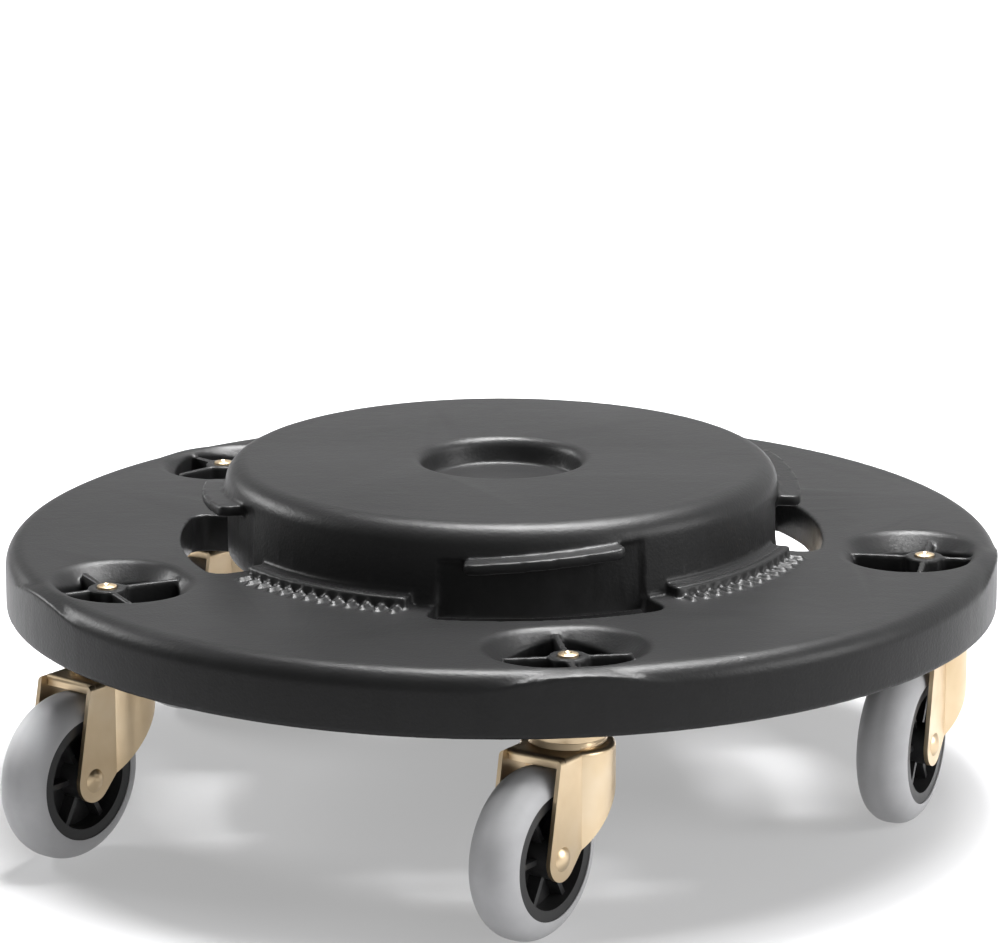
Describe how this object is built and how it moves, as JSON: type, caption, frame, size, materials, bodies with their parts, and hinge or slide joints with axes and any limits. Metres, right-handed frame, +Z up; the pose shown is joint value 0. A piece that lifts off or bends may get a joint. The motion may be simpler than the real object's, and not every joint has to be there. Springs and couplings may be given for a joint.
{
  "type": "container dolly",
  "caption": "Round twist-lock dolly for a waste container: moulded black deck with a raised bayonet hub, on swivel casters with grey rubber tyres.",
  "frame": {"origin": "on the floor, on the axis of the round deck", "axes": "+Z up along the deck's axis; -Y is the front, towards caster 1; +X is to the right seen from the front"},
  "size_m": [0.463, 0.4849, 0.158],
  "materials": {
    "black_plastic": "satin moulded polyethylene with fine scuffs",
    "core_plastic": "satin polypropylene",
    "zinc": "pale yellow zinc plating",
    "steel": "bright hardened steel",
    "grey_rubber": "smooth matt thermoplastic rubber"
  },
  "bodies": {
    "deck_body": {"deck": "black_plastic", "caster_1_stem": "zinc", "caster_1_grip_ring": "steel", "caster_1_top_race": "zinc", "caster_1_bottom_race": "zinc", "caster_2_stem": "zinc", "caster_2_grip_ring": "steel", "caster_2_top_race": "zinc", "caster_2_bottom_race": "zinc", "caster_3_stem": "zinc", "caster_3_grip_ring": "steel", "caster_3_top_race": "zinc", "caster_3_bottom_race": "zinc", "caster_4_stem": "zinc", "caster_4_grip_ring": "steel", "caster_4_top_race": "zinc", "caster_4_bottom_race": "zinc", "caster_5_stem": "zinc", "caster_5_grip_ring": "steel", "caster_5_top_race": "zinc", "caster_5_bottom_race": "zinc"},
    "caster_1_swivel": {"caster_1_fork": "zinc", "caster_1_top_balls": "steel", "caster_1_bottom_balls": "steel", "caster_1_axle": "zinc", "caster_1_bush": "steel"},
    "caster_1_wheel": {"caster_1_wheel_core": "core_plastic", "caster_1_tyre": "grey_rubber"},
    "caster_2_swivel": {"caster_2_fork": "zinc", "caster_2_top_balls": "steel", "caster_2_bottom_balls": "steel", "caster_2_axle": "zinc", "caster_2_bush": "steel"},
    "caster_2_wheel": {"caster_2_wheel_core": "core_plastic", "caster_2_tyre": "grey_rubber"},
    "caster_3_swivel": {"caster_3_fork": "zinc", "caster_3_top_balls": "steel", "caster_3_bottom_balls": "steel", "caster_3_axle": "zinc", "caster_3_bush": "steel"},
    "caster_3_wheel": {"caster_3_wheel_core": "core_plastic", "caster_3_tyre": "grey_rubber"},
    "caster_4_swivel": {"caster_4_fork": "zinc", "caster_4_top_balls": "steel", "caster_4_bottom_balls": "steel", "caster_4_axle": "zinc", "caster_4_bush": "steel"},
    "caster_4_wheel": {"caster_4_wheel_core": "core_plastic", "caster_4_tyre": "grey_rubber"},
    "caster_5_swivel": {"caster_5_fork": "zinc", "caster_5_top_balls": "steel", "caster_5_bottom_balls": "steel", "caster_5_axle": "zinc", "caster_5_bush": "steel"},
    "caster_5_wheel": {"caster_5_wheel_core": "core_plastic", "caster_5_tyre": "grey_rubber"}
  },
  "joints": [
    {"name": "swivel_1", "type": "hinge", "parent": "deck_body", "child": "caster_1_swivel", "pos_m": [0.02851, -0.19614, 0.08], "axis": [0, 0, 1], "continuous": true},
    {"name": "spin_1", "type": "hinge", "parent": "caster_1_swivel", "child": "caster_1_wheel", "pos_m": [0.01304, -0.21924, 0.0381], "axis": [0.831, -0.5563, 0], "continuous": true},
    {"name": "swivel_2", "type": "hinge", "parent": "deck_body", "child": "caster_2_swivel", "pos_m": [0.19535, -0.0335, 0.08], "axis": [0, 0, 1], "continuous": true},
    {"name": "spin_2", "type": "hinge", "parent": "caster_2_swivel", "child": "caster_2_wheel", "pos_m": [0.1844, -0.05905, 0.0381], "axis": [0.9191, -0.3939, 0], "continuous": true},
    {"name": "swivel_3", "type": "hinge", "parent": "deck_body", "child": "caster_3_swivel", "pos_m": [0.09222, 0.17544, 0.08], "axis": [0, 0, 1], "continuous": true},
    {"name": "spin_3", "type": "hinge", "parent": "caster_3_swivel", "child": "caster_3_wheel", "pos_m": [0.07832, 0.15136, 0.0381], "axis": [0.866, -0.5, 0], "continuous": true},
    {"name": "swivel_4", "type": "hinge", "parent": "deck_body", "child": "caster_4_swivel", "pos_m": [-0.13835, 0.14192, 0.08], "axis": [0, 0, 1], "continuous": true},
    {"name": "spin_4", "type": "hinge", "parent": "caster_4_swivel", "child": "caster_4_wheel", "pos_m": [-0.15508, 0.11972, 0.0381], "axis": [0.7986, -0.6018, 0], "continuous": true},
    {"name": "swivel_5", "type": "hinge", "parent": "deck_body", "child": "caster_5_swivel", "pos_m": [-0.17773, -0.08772, 0.08], "axis": [0, 0, 1], "continuous": true},
    {"name": "spin_5", "type": "hinge", "parent": "caster_5_swivel", "child": "caster_5_wheel", "pos_m": [-0.19465, -0.10978, 0.0381], "axis": [0.7934, -0.6088, 0], "continuous": true}
  ]
}
